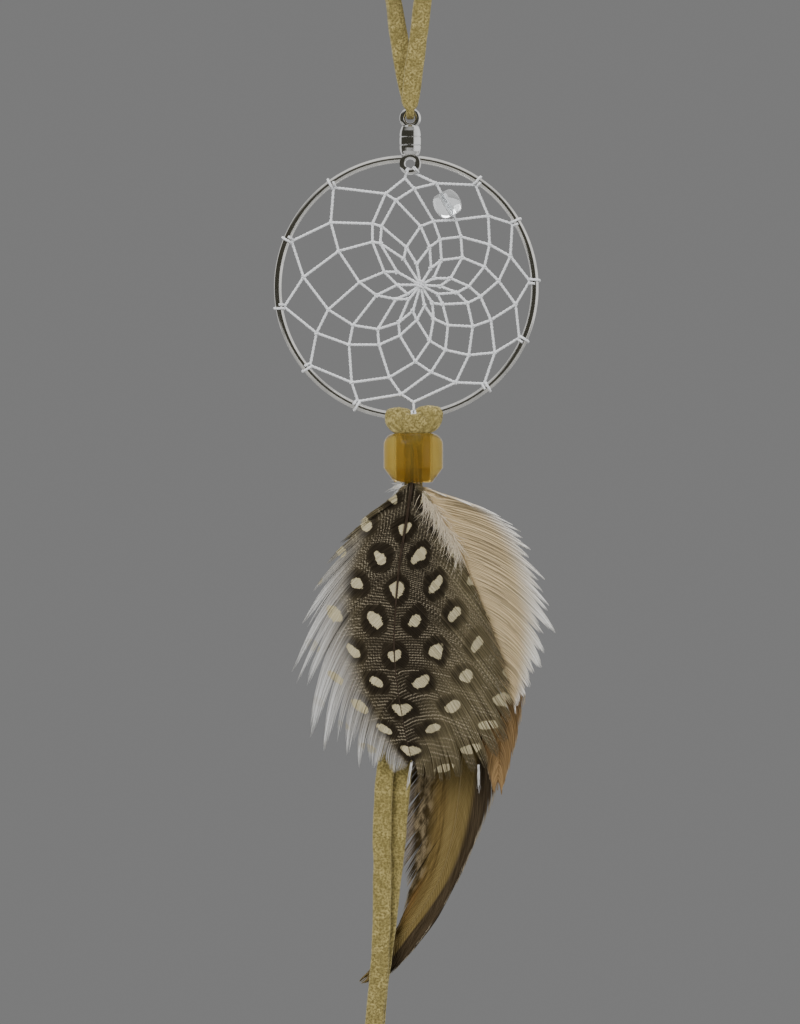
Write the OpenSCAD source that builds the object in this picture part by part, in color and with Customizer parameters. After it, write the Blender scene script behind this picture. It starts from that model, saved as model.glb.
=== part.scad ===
// Hanging dream catcher: a metal hoop with a thread web, hung from a suede loop by a barrel swivel,
// with a bead, four feathers and two suede tails below. Millimetres, +Z up, +X to the right, and the
// front faces -Y. The origin is where the suede loop rests on whatever holds it up.

/* [Hoop and web] */
// Outer diameter of the metal hoop
hoop_od = 50.8; // [50.6:0.1:51]
// Diameter of the hoop's wire
hoop_wire = 1.4; // [1.3:0.05:1.45]
// Thickness of the web's thread
thread_w = 0.6; // [0.4:0.05:0.65]
// Diameter of the glass bead on the web
web_bead_d = 5.2; // [4.8:0.1:5.3]
// Length of the glass bead on the web
web_bead_len = 4.8; // [4.4:0.1:4.9]

/* [Swivel] */
// Outer diameter of each eye
eye_od = 4.1; // [4:0.05:4.2]
// Diameter of each eye's hole
eye_hole = 1.9; // [1.85:0.05:1.95]
// Diameter of the swivel's barrel
barrel_d = 4; // [3.8:0.1:4.1]
// Diameter of the pin's shank
pin_d = 1.26; // [1.1:0.02:1.3]
// Radial clearance of the pin in what turns on it
pin_clearance = 0.06; // [0.03:0.01:0.08]

/* [Suede lace] */
// Width of the lace
lace_w = 3.5; // [3.2:0.1:3.6]
// Thickness of the lace
lace_t = 1.2; // [1:0.1:1.2]

/* [Amber bead] */
// Outer diameter of the large bead
bead_d = 11.4; // [11:0.1:12]
// Height of the large bead
bead_h = 9.4; // [9:0.1:9.6]
// Diameter of the large bead's hole
bead_hole = 6.6; // [6.5:0.1:6.8]

/* [Feathers] */
// Thickness of each feather's vane
vane_t = 0.5; // [0.3:0.1:0.5]
// Diameter of each feather's quill inside the bead
quill_d = 0.8; // [0.6:0.1:0.9]

/* [Hidden] */
$fn = 48;

// Heights of the parts down the hanging line
upper_eye_z = -67.5;
lower_eye_z = -76.25;
hoop_x = -0.75;
hoop_z = -100;
hoop_r = (hoop_od - hoop_wire) / 2;
eye_r = eye_od / 2;
eye_band = (eye_od - eye_hole) / 2;
eye_mid_r = (eye_od + eye_hole) / 4;

// The swivel: each level is a height on the hanging line
cap_top_z = -68.9;
cavity_top_z = -69.95;
cavity_floor_z = -70.6;
cap_foot_z = -71.02;
collar_top_z = -71.1;
collar_foot_z = -72.66;
socket_top_z = -72.74;
socket_foot_z = -74.45;
pin_foot_z = -74;
head_top_z = -70.05;
head_t = 0.45;
head_r = 1.12;
cavity_r = 1.25;
barrel_r = barrel_d / 2;
waist_r = 1.65;
lower_eye_t = 1.9;
wire_end_x = 1.42;
socket_clearance = 0.02;

// The lace's fold through the upper eye turns about this point
fold_z = upper_eye_z + eye_mid_r;
fold_r = 1.35;

// The loop over the peg
arch_r = 8;
arch_z = -(arch_r - lace_t / 2);

// Outer radius of a turn of thread around the hoop's wire
wrap_r = hoop_wire / 2 + 0.5;

// The web: anchors as angles clockwise from the top of the hoop, and knots as places from its centre
web_anchors = [34, 59, 87, 114, 141, 176.4, 203, 231, 261, 292, 324];
eye_knots = [[0.9, 22.3], [-0.25, 21]];
web_round_2 = [[5.75, 20], [15.75, 13.75], [20, 6], [21, -3.25], [17, -12.5], [9.5, -18.25], [-1, -20.5],
    [-10.5, -18.25], [-17.25, -8.75], [-19.75, 2], [-14.5, 12.5], [-4, 18], [1.5, 19]];
web_round_3 = [[9.5, 13], [16, 8.25], [17.75, 1.25], [16.25, -6.25], [12, -13], [4.75, -16.25],
    [-3.25, -17.25], [-11, -11], [-15, -4.25], [-13, 7], [-6.5, 12.25], [-2, 16.75], [5.25, 12.75]];
web_round_4 = [[10.5, 9.75], [15, 4], [14.25, -1.75], [12.75, -7.5], [7.5, -12], [1.75, -14.25],
    [-5.25, -11], [-10.25, -7.25], [-9, 1], [-6.5, 8.75], [-4.75, 11.75], [2.75, 11.75], [6.5, 9.25]];
web_round_5 = [[10.75, 5.75], [12, 0.25], [11.75, -3], [8, -7.25], [4.5, -10.25], [-1.25, -9.25],
    [-5.5, -8], [-5.75, -1.5], [-4.25, 3], [-5, 8.5], [0, 7.75], [4.5, 7.75], [6.75, 5.25]];
web_round_6 = [[8.5, 1.75], [9.75, -1], [7, -3.25], [5.25, -6], [2, -6.25], [-1.5, -6.75], [-2, -2.25],
    [-1.75, 0.5], [-1.75, 3], [-0.5, 5.5], [2, 4.5], [4.75, 3.75], [5.25, 1.75]];
web_round_7 = [[6.5, 0.25], [6, -1.25], [5, -3], [3.5, -3.5], [1.25, -4.5], [0.5, -2.25], [0.25, -1.25]];
web_centre = [2.75, 0.5];
web_period = 13;
anchor_depth = 0.35;
// One anchor lies between the hitch's two turns, and its thread clears them before it spreads
hitch_anchor = 5;
hitch_clear = 2.65;
anchor_points = [for (i = [0 : len(web_anchors) - 1])
    on_hoop(web_anchors[i], hoop_r - (i == hitch_anchor ? hitch_clear : anchor_depth))];
web_knots = concat([eye_knots[0]], anchor_points, [eye_knots[1]],
    web_round_2, web_round_3, web_round_4, web_round_5, web_round_6, web_round_7);

// Two strands leave the lower eye at these angles from straight down, each for one of its knots
eye_at = [-hoop_x, lower_eye_z - hoop_z];
eye_angles = [-45, 22];
eye_strands = [for (i = [0, 1])
    [eye_at - (eye_r - 0.2) * [sin(eye_angles[i]), cos(eye_angles[i])], eye_knots[i]]];

// The glass bead on the thread between two knots: it rests just above the lower one's strands
bead_thread_top = web_round_2[0];
bead_thread_foot = web_round_3[0];
bead_up = 3.45;
web_bead_hole = 1.1;

// The hitch sits on the hoop a little to the right of its lowest point
hitch_angle = 3;
hitch_x = hoop_x + hoop_r * sin(hitch_angle);
hitch_z = hoop_z - hoop_r * cos(hitch_angle);
hitch_foot_z = -127.9;
tunnel_r = hoop_wire / 2 + 0.1;
// Room in the hitch for the web's turn of thread between its two lobes
wrap_room_x = -0.55;
wrap_room_w = 1.6;
wrap_room_r = wrap_r + 0.12;

// The large bead and what passes through it
bead_x = 0.6;
bead_z = -132.7;
front_lace_y = 0.2;
back_lace_y = 1.5;
quill_top_z = -129.5;
quill_foot_z = -138.2;

// Where each feather's vane lies, from front to back, and where its quill stands in the bead
guinea_y = -2.6;
cream_y = -1.8;
tan_y = -1;
brown_y = 2.7;
guinea_x = -0.1;
cream_x = 1.4;
tan_x = 0.5;
brown_x = 0.9;

// Routes of the suede lace: each entry is x, y, z, the lace's width there, and its twist in degrees
fold_w = 1.5;
back_leg = [[0, 0, -67.35, fold_w, 0], [0, 0.95, -66.95, fold_w, 0], [0, 1.35, -66, fold_w, 0],
    [0, 1.25, -64.8, 3, 0], [-0.2, 0.85, -62.5, lace_w, 0], [-1.1, 0.7, -58.5, lace_w, 0],
    [-2, 0.7, -53, lace_w, 10], [-2.9, 0.7, -47, lace_w, 30], [-3.9, 0.6, -40, lace_w, 50],
    [-5, 0.4, -32, lace_w, 75], [-5.9, 0.2, -25.5, lace_w, 90]];
front_leg = [[0, 0, -67.35, fold_w, 0], [0, -0.95, -66.95, fold_w, 0], [0, -1.35, -66, fold_w, 0],
    [0, -1.25, -64.8, 3, 0], [0.2, -0.85, -62.5, lace_w, 0], [0.7, -0.7, -58.5, lace_w, 0],
    [1.4, -0.7, -53, lace_w, 0], [2.2, -0.7, -47, lace_w, 10], [3, -0.6, -40, lace_w, 30],
    [4.4, -0.4, -30, lace_w, 60], [5.9, -0.2, -20, lace_w, 85], [7.3, 0, -12, lace_w, 90]];
arch = [for (a = [0 : 30 : 180]) [arch_r * cos(a), 0, arch_z + arch_r * sin(a), lace_w, 90]];
arch_end = [[-7.7, 0, -11, lace_w, 90], [-7.1, 0, -15, lace_w, 90], [-6.7, 0, -18.5, lace_w, 90]];
front_tail = [[0.6, 0.2, -127.9, lace_w, 0], [0.6, 0.2, -137, lace_w, 0], [0.4, 0.2, -146, lace_w, 0],
    [-0.6, 0.3, -156, lace_w, 0], [-2.1, 0.3, -168, lace_w, 0], [-3.7, 0.2, -182, lace_w, 0],
    [-5, 0, -195, lace_w, 0], [-5.4, -0.2, -205, lace_w, 0], [-5.4, -0.3, -215, lace_w, 0],
    [-5.6, -0.3, -225, lace_w, 0], [-6.2, -0.3, -234, lace_w, 0], [-7, -0.3, -242, lace_w, 0],
    [-7.8, -0.3, -251, lace_w, 0], [-8.6, -0.3, -260, lace_w, 0]];
back_tail = [[0.6, 1.5, -127.9, lace_w, 0], [0.6, 1.5, -137, lace_w, 0], [0.9, 1.5, -148, lace_w, 0],
    [0.6, 1.5, -160, lace_w, 0], [-0.2, 1.5, -175, lace_w, 0], [-1.1, 1.5, -188, lace_w, 0],
    [-1.9, 1.4, -198, lace_w, 0], [-2.8, 1.3, -208, lace_w, 0], [-3.8, 1.2, -217, lace_w, 0],
    [-4.9, 1.1, -226, lace_w, 0], [-5.9, 1.1, -234, lace_w, 0], [-6.7, 1.1, -242, lace_w, 0],
    [-7.3, 1.1, -250, lace_w, 0], [-7.7, 1.1, -256, lace_w, 0]];

// The knot that joins the lace's ends, beside the loop
knot_at = [-6.3, 0, -22];
knot_h = 7;
knot_r = 3.3;
knot_lean = 7;
knot_tail = 14;

// ---- Helpers ----

function unit(v) = v / norm(v);
function on_hoop(angle, radius) = radius * [sin(angle), cos(angle)];
function place(route, i) = [route[i][0], route[i][1], route[i][2]];
function heading(route, i) =
    unit(place(route, min(i + 1, len(route) - 1)) - place(route, max(i - 1, 0)));
function across(route, i) =
    let (along = heading(route, i), turn = route[i][4], side = [cos(turn), sin(turn), 0])
    unit(side - (side * along) * along);

// The lace's section as [across, through], with its corners cut
function lace_section(w) =
    let (a = w / 2, b = lace_t / 2, c = lace_t * 0.3)
    [[a, b - c], [a - c, b], [c - a, b], [-a, b - c], [-a, c - b], [c - a, -b], [a - c, -b], [a, c - b]];
function lace_ring(route, i) =
    let (side = across(route, i), through = cross(heading(route, i), side))
    [for (p = lace_section(route[i][3])) place(route, i) + p[0] * side + p[1] * through];

// A flat lace swept along a route
module lace(route) {
    sides = 8;
    last = len(route) - 1;
    points = [for (i = [0 : last]) each lace_ring(route, i)];
    walls = [for (i = [0 : last - 1], j = [0 : sides - 1])
        let (k = (j + 1) % sides, a = i * sides, b = a + sides)
        each [[a + j, b + j, b + k], [a + j, b + k, a + k]]];
    start_cap = [for (j = [0 : sides - 1]) j];
    end_cap = [for (j = [0 : sides - 1]) last * sides + sides - 1 - j];
    polyhedron(points, concat([start_cap], walls, [end_cap]));
}

// Draws flat shapes in the hoop's plane, centred on the hoop
module in_hoop_plane(thickness) {
    translate([hoop_x, 0, hoop_z]) rotate([90, 0, 0])
        linear_extrude(thickness, center = true) children();
}

// Moves to a point on the hoop's wire, with +X along the wire, at an angle clockwise from the top
module on_wire(angle) {
    translate([hoop_x + hoop_r * sin(angle), 0, hoop_z + hoop_r * cos(angle)])
        rotate([0, angle, 0]) children();
}

module strand(from, to) {
    run = to - from;
    translate(from) rotate(atan2(run[1], run[0])) translate([0, -thread_w / 2])
        square([norm(run), thread_w]);
}

// A turn of thread around the hoop's wire, which runs along X
module thread_wrap() {
    rotate([0, 90, 0]) rotate_extrude() translate([hoop_wire / 2 - 0.05, -thread_w])
        square([wrap_r - hoop_wire / 2 + 0.05, 2 * thread_w]);
}

// An outline in the front view, as a flat slab
module vane(outline, y) {
    translate([0, y, 0]) rotate([90, 0, 0]) linear_extrude(vane_t, center = true) polygon(outline);
}

module quill(x, y) {
    translate([x, y, quill_foot_z]) cylinder(d = quill_d, h = quill_top_z - quill_foot_z);
}

// ---- Suede loop ----

module hanger_lace_back() {
    color("darkkhaki") lace(back_leg);
}

module hanger_lace_front() {
    color("darkkhaki") lace(concat(front_leg, arch, arch_end));
}

module hanger_knot() {
    color("darkkhaki") translate(knot_at) rotate([0, -knot_lean, 0]) {
        rotate_extrude() polygon([[0, -knot_h / 2], [2.4, -knot_h / 2], [knot_r, -1.6], [knot_r, 1.6],
            [2.4, knot_h / 2], [0, knot_h / 2]]);
        for (side = [-1, 1]) translate([side * 2.2 - 0.6, side * 0.9 - lace_w / 2, -knot_tail])
            cube([lace_t, lace_w, knot_tail]);
    }
}

// ---- Swivel ----

module swivel_upper_eye() {
    bore_r = pin_d / 2 + pin_clearance;
    color("silver") {
        translate([0, 0, upper_eye_z]) rotate([90, 0, 0])
            rotate_extrude() translate([eye_mid_r, 0]) circle(d = eye_band, $fn = 24);
        rotate_extrude() polygon([[0, cap_top_z], [1.4, cap_top_z], [waist_r, cap_top_z - 0.25],
            [barrel_r - 0.1, cap_top_z - 1], [barrel_r, cavity_floor_z], [barrel_r, cap_foot_z + 0.1],
            [barrel_r - 0.12, cap_foot_z], [bore_r, cap_foot_z], [bore_r, cavity_floor_z],
            [cavity_r, cavity_floor_z], [cavity_r, cavity_top_z], [0, cavity_top_z]]);
    }
}

module swivel_pin() {
    color("silver") rotate_extrude() polygon([[0, head_top_z], [head_r, head_top_z],
        [head_r, head_top_z - head_t], [pin_d / 2, head_top_z - head_t], [pin_d / 2, pin_foot_z],
        [0, pin_foot_z]]);
}

module swivel_collar() {
    color("silver") rotate_extrude() polygon([[pin_d / 2 + pin_clearance, collar_foot_z],
        [barrel_r - 0.1, collar_foot_z], [barrel_r + 0.02, collar_foot_z + 0.12],
        [barrel_r + 0.02, collar_top_z - 0.12], [barrel_r - 0.1, collar_top_z],
        [pin_d / 2 + pin_clearance, collar_top_z]]);
}

module swivel_lower_eye() {
    color("silver") difference() {
        union() {
            translate([0, 0, lower_eye_z]) rotate([90, 0, 0]) rotate_extrude()
                translate([eye_mid_r, 0]) intersection() {
                    square([eye_band, lower_eye_t], center = true);
                    circle(r = lower_eye_t / 2 + 0.02);
                }
            rotate_extrude() polygon([[0, socket_top_z], [barrel_r - 0.12, socket_top_z],
                [barrel_r, socket_top_z - 0.1], [barrel_r, socket_top_z - 0.5],
                [barrel_r - 0.1, socket_top_z - 1.1], [waist_r, socket_foot_z], [0, socket_foot_z]]);
        }
        translate([0, 0, pin_foot_z]) cylinder(d = pin_d + 0.02, h = socket_top_z - pin_foot_z + 1);
        for (side = [-1, 1]) on_wire(wire_end_angle(side)) rotate([0, side * 90, 0])
            cylinder(d = hoop_wire + 2 * socket_clearance, h = 2);
    }
}

// ---- Hoop and web ----

// The angle, clockwise from the top, at which the wire's end meets the lower eye on one side
function wire_end_angle(side) = asin((side * wire_end_x - hoop_x) / hoop_r);

module hoop_ring() {
    gap = wire_end_angle(1) - wire_end_angle(-1);
    color("silver") translate([hoop_x, 0, hoop_z]) rotate([90, 0, 0])
        rotate([0, 0, 90 - wire_end_angle(-1)]) rotate_extrude(angle = 360 - gap, $fn = 180)
            translate([hoop_r, 0]) circle(d = hoop_wire, $fn = 24);
}

// One thread: every knot past the anchors is hitched round the strand one round further out
module web_thread() {
    last = len(web_knots) - 1;
    color("white") {
        in_hoop_plane(thread_w) offset(delta = 0.01) {
            for (k = [web_period : last]) {
                strand(web_knots[k - web_period], web_knots[k]);
                strand(web_knots[k - web_period + 1], web_knots[k]);
            }
            for (k = [last - web_period + 1 : last]) strand(web_knots[k], web_centre);
            for (e = eye_strands) strand(e[0], e[1]);
            strand(on_hoop(web_anchors[hitch_anchor], hoop_r - anchor_depth),
                anchor_points[hitch_anchor]);
            translate(web_centre) circle(d = 2, $fn = 12);
        }
        for (a = web_anchors) on_wire(a) thread_wrap();
    }
}

module web_bead() {
    run = bead_thread_top - bead_thread_foot;
    at = bead_thread_foot + bead_up * unit(run);
    half = web_bead_len / 2;
    end_r = web_bead_d / 4;
    side = [for (a = [-90 : 15 : 90]) [end_r + (web_bead_d / 2 - end_r) * cos(a), half * sin(a)]];
    color("lightcyan", 0.5) translate([hoop_x + at[0], 0, hoop_z + at[1]])
        rotate([0, atan2(run[0], run[1]), 0]) rotate_extrude()
            polygon(concat([[web_bead_hole / 2, -half]], side, [[web_bead_hole / 2, half]]));
}

// ---- Lower suede lace ----

// The space that the curved wire sweeps as the hitch turns on it
module wire_tunnel() {
    rotate([0, 90, 0]) rotate_extrude() polygon([[0, -6.5], [tunnel_r + 0.86, -6.5],
        [tunnel_r + 0.18, -3], [tunnel_r, -0.6], [tunnel_r, 0.6], [tunnel_r + 0.18, 3],
        [tunnel_r + 0.86, 6.5], [0, 6.5]]);
}

module lace_hitch() {
    color("darkkhaki") difference() {
        union() {
            translate([hitch_x, 0, hitch_z]) rotate([0, -hitch_angle, 0]) {
                rotate([0, 90, 0]) rotate_extrude() polygon([[0, -5.5], [1.75, -5.5], [2.1, -4.6],
                    [2.25, -3], [2.1, -1.3], [1.8, -0.6], [0, -0.6]]);
                rotate([0, 90, 0]) rotate_extrude() polygon([[0, 1.1], [1.8, 1.1], [2.1, 1.8],
                    [2.25, 3.2], [2.1, 4.6], [1.75, 5.5], [0, 5.5]]);
            }
            translate([0, back_lace_y + lace_t / 2, 0]) rotate([90, 0, 0])
                linear_extrude(back_lace_y - front_lace_y + lace_t)
                    polygon([[-4.3, -126.1], [5.6, -125.8], [3.7, hitch_foot_z], [-2.5, hitch_foot_z]]);
            // The bar across the front, low enough to clear the web's thread as the hitch swings
            translate([hitch_x, 0, hitch_z]) rotate([0, -hitch_angle, 0]) rotate([0, 90, 0])
                rotate([0, 0, 270]) rotate_extrude(angle = 60) translate([1.5, -1.2]) square([0.8, 2.9]);
        }
        translate([hitch_x, 0, hitch_z]) rotate([0, -hitch_angle, 0]) {
            wire_tunnel();
            translate([wrap_room_x, 0, 0]) rotate([0, 90, 0]) cylinder(r = wrap_room_r, h = wrap_room_w);
        }
    }
}

module lace_tail_front() {
    color("darkkhaki") lace(front_tail);
}

module lace_tail_back() {
    color("darkkhaki") lace(back_tail);
}

// ---- Large bead and feathers ----

module amber_bead() {
    outer_r = bead_d / 2;
    hole_r = bead_hole / 2;
    half = bead_h / 2;
    shoulder = 2.3;
    rounding = [for (a = [75 : -15 : 0])
        [outer_r - shoulder + shoulder * cos(a), half - shoulder + shoulder * sin(a)]];
    color("goldenrod", 0.6) translate([bead_x, 0, bead_z]) rotate_extrude()
        polygon(concat([[hole_r, 0.5 - half], [hole_r, half - 0.8], [hole_r + 0.4, half]], rounding,
            [[outer_r, 2.6 - half], [outer_r - 1.9, -half], [hole_r + 0.3, -half]]));
}

module guinea_quill() {
    color("saddlebrown") quill(guinea_x, guinea_y + 0.15);
}

module guinea_vane() {
    color("dimgray") vane([[-0.7, -138.5], [-4.8, -141.8], [-10.6, -145.6], [-17.7, -154.3], [-21.5, -165.8],
        [-22.7, -175.4], [-18.3, -188], [-11.2, -193.6], [-7.3, -194.6], [2, -193.4], [9, -193],
        [19.6, -187], [20.2, -179], [18.2, -169.6], [13.4, -154.3], [6.5, -143], [1.2, -138.5]], guinea_y);
}

module cream_quill() {
    color("wheat") quill(cream_x, cream_y);
}

module cream_vane() {
    color("linen") vane([[1, -138.5], [2.4, -138.5], [7.6, -141.8], [13.4, -143.2], [18.6, -145.6],
        [23, -149.5], [26.3, -158], [27, -167.7], [24.5, -176], [19, -184], [10, -178], [4, -160]], cream_y);
}

module tan_quill() {
    color("peru") quill(tan_x, tan_y);
}

module tan_vane() {
    color("peru") vane([[0.1, -138.5], [1, -138.5], [12, -147], [20, -158], [22.6, -170], [22.4, -179],
        [16.7, -198], [12, -188], [7, -168], [2, -150]], tan_y);
}

module brown_quill() {
    color("saddlebrown") quill(brown_x, brown_y);
}

module brown_vane() {
    color("sienna") vane([[0.4, -138.5], [1.4, -138.5], [9, -150], [16, -164], [20.6, -179], [20.6, -187],
        [17.2, -198.4], [13.4, -208], [8.6, -217.6], [2.8, -225.3], [-4.3, -232.4], [-9.8, -234],
        [-5, -230], [-1.4, -224], [-0.6, -214], [-1.3, -205], [0.3, -190], [1.5, -170]], brown_y);
}

hanger_lace_back();
hanger_lace_front();
hanger_knot();
swivel_upper_eye();
swivel_pin();
swivel_collar();
swivel_lower_eye();
hoop_ring();
web_thread();
web_bead();
lace_hitch();
lace_tail_front();
lace_tail_back();
amber_bead();
guinea_quill();
guinea_vane();
cream_quill();
cream_vane();
tan_quill();
tan_vane();
brown_quill();
brown_vane();
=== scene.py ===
"""The looks of a hanging dream catcher: suede laces, a chrome hoop and swivel, a thread web,
two glass beads and four feathers. Everything is in metres, in the CAD model's frame: +Z up,
the front faces -Y, and the origin is where the suede loop rests on its peg."""

import math

import bpy
import bmesh
import numpy as np
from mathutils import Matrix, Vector


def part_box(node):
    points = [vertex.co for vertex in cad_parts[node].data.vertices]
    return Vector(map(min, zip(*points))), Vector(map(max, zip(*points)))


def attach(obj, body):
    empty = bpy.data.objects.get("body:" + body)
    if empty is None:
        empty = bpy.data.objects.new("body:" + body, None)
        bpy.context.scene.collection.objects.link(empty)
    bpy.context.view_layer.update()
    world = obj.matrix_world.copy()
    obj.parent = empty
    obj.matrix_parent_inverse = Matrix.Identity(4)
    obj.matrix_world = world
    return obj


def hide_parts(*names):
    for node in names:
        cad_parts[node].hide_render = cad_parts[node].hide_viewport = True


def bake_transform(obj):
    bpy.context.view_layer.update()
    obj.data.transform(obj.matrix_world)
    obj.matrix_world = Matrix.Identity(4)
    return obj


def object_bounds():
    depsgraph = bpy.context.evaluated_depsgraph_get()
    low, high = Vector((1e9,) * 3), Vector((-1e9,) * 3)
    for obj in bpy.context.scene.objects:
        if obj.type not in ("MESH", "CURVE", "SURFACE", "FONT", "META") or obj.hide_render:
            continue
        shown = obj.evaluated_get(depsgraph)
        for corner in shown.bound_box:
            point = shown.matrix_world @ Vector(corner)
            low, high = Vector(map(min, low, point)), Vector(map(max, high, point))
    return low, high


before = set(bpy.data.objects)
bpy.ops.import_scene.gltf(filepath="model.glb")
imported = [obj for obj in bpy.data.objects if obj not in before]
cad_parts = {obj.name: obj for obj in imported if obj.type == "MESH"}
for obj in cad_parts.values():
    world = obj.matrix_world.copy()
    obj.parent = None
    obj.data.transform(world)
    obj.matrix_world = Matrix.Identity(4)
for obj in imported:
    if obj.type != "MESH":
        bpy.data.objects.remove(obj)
cad_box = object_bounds()

MM = 0.001

# ---- Camera, light and floor ----

VIEW_HEIGHT = 0.1967
VIEW_CENTRE = Vector((-0.00196, 0, -0.14312))
CAMERA_AWAY = 1.2
FLOOR_DROP = 0.07
FLOOR_RADIUS = 1.0
BACKDROP_GREY = (0.20, 0.20, 0.20)
REFLECTED_DARK = (0.055, 0.053, 0.042)
REFLECTED_WHITE = (1, 1, 1)


def add_object(name, data, place=(0, 0, 0)):
    """Puts a camera, light or mesh into the scene."""
    made = bpy.data.objects.new(name, data)
    made.location = place
    bpy.context.scene.collection.objects.link(made)
    return made


def make_camera():
    """A camera level with the middle of the picture, looking straight at the front."""
    data = bpy.data.cameras.new("Camera")
    data.sensor_width = 36
    data.lens = data.sensor_width * CAMERA_AWAY / VIEW_HEIGHT
    camera = add_object("Camera", data, VIEW_CENTRE - Vector((0, CAMERA_AWAY, 0)))
    camera.rotation_euler = (math.pi / 2, 0, 0)
    bpy.context.scene.camera = camera


def area_light(name, place, width, height, watts):
    """A soft box that faces the middle of the object and is seen by nothing but matt surfaces."""
    data = bpy.data.lights.new(name, "AREA")
    data.shape = "RECTANGLE"
    data.size, data.size_y = width, height
    data.energy = watts
    light = add_object(name, data, place)
    light.rotation_euler = (VIEW_CENTRE - light.location).to_track_quat("-Z", "Y").to_euler()
    light.visible_camera = False
    light.visible_glossy = False


def make_world():
    """A grey room. Where it is seen it's plain. What the metal and glass reflect is bright to the
    right, behind and overhead, and dark in front."""
    look = Look("Room", "worlds")
    bpy.context.scene.world = look.owner
    x, y, z = look.split(look.place("Generated"))
    right = look.smooth(x, 0.58, 0.72) * 0.95
    behind = look.smooth(y, 0.30, 0.60) * 0.80
    above = look.smooth(z, 0.45, 0.90) * 0.90
    glow = look.math("MAXIMUM", look.math("MAXIMUM", right, behind), above)
    reflected = look.mix(glow, REFLECTED_DARK, REFLECTED_WHITE)
    seen = look.node("LightPath", {}, out="Is Camera Ray")
    shown = look.mix(seen, reflected, BACKDROP_GREY)
    look.feed(look.tree.nodes["Background"].inputs[0], shown)


def make_floor():
    """A round pale floor, low enough to stay out of the front view."""
    mesh = bpy.data.meshes.new("Floor")
    form = bmesh.new()
    bmesh.ops.create_circle(form, cap_ends=True, segments=96, radius=FLOOR_RADIUS)
    form.to_mesh(mesh)
    form.free()
    look = Look("floor")
    speckle = look.noise(look.place(), 9, 4)
    look.surface(look.mix(speckle, (0.27, 0.27, 0.265), (0.31, 0.31, 0.305)), 0.8)
    mesh.materials.append(look.owner)
    floor = add_object("Floor", mesh, (0, 0, cad_box[0].z - FLOOR_DROP))


# ---- Materials ----


class Term:
    """An output of a node. Sums and products of terms make more nodes."""

    def __init__(self, look, socket):
        self.look = look
        self.socket = socket

    def __add__(self, other):
        return self.look.math("ADD", self, other)

    def __sub__(self, other):
        return self.look.math("SUBTRACT", self, other)

    def __mul__(self, other):
        return self.look.math("MULTIPLY", self, other)

    def __truediv__(self, other):
        return self.look.math("DIVIDE", self, other)

    def __abs__(self):
        return self.look.math("ABSOLUTE", self)


class Look:
    """The nodes of one material or world. Its methods return terms, which feed one another."""

    def __init__(self, name, kind="materials"):
        self.owner = getattr(bpy.data, kind).new(name)
        self.owner.use_nodes = True
        self.tree = self.owner.node_tree

    def feed(self, socket, value):
        """Links a term to a socket, or sets the socket. A colour is given as three numbers."""
        if isinstance(value, Term):
            self.tree.links.new(value.socket, socket)
        else:
            socket.default_value = (*value, 1) if socket.type == "RGBA" else value

    def node(self, kind, inputs, out=0, **settings):
        """One output of a new node. Its inputs and output go by name or number."""
        made = self.tree.nodes.new("ShaderNode" + kind)
        for name, value in settings.items():
            setattr(made, name, value)
        for name, value in inputs.items():
            self.feed(made.inputs[name], value)
        return Term(self, made.outputs[out])

    def math(self, operation, *values):
        return self.node("Math", dict(enumerate(values)), operation=operation)

    def smooth(self, value, start, end):
        """0 where value is start, 1 where it is end, and a smooth step between."""
        inputs = {"Value": value, "From Min": start, "From Max": end}
        return self.node("MapRange", inputs, interpolation_type="SMOOTHSTEP")

    def mix(self, share, a, b):
        return self.node("Mix", {0: share, 6: a, 7: b}, out=2, data_type="RGBA")

    def place(self, name="Object"):
        return self.node("TexCoord", {}, out=name)

    def mark(self, name):
        """One of the mesh's float attributes."""
        return self.node("Attribute", {}, out="Fac", attribute_name=name)

    def map(self, name):
        """One of the mesh's UV maps, as a vector."""
        return self.node("UVMap", {}, uv_map=name)

    def split(self, vector):
        parts = self.node("SeparateXYZ", {"Vector": vector}).socket.node.outputs
        return [Term(self, part) for part in parts]

    def stretch(self, vector, x, y, z=1.0):
        return self.node("Mapping", {"Vector": vector, "Scale": (x, y, z)})

    def noise(self, vector, scale, detail=2.0, roughness=0.5):
        inputs = {"Vector": vector, "Scale": scale, "Detail": detail, "Roughness": roughness}
        return self.node("TexNoise", inputs, out="Fac")

    def hashed(self, value):
        """A number from 0 to 1 that jumps from one whole step of value to the next."""
        step = self.math("FLOOR", value)
        return self.node("TexWhiteNoise", {"W": step}, out="Value", noise_dimensions="1D")

    def bump(self, height, distance, strength=1.0):
        inputs = {"Height": height, "Distance": distance, "Strength": strength}
        return self.node("Bump", inputs)

    def surface(self, colour, roughness, normal=None, **others):
        """Sets the shader. Others are its inputs by name, with underscores for spaces."""
        shader = self.tree.nodes["Principled BSDF"]
        self.feed(shader.inputs["Base Color"], colour)
        self.feed(shader.inputs["Roughness"], roughness)
        if normal:
            self.feed(shader.inputs["Normal"], normal)
        for name, value in others.items():
            self.feed(shader.inputs[name.replace("_", " ")], value)
        return self.owner


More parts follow.
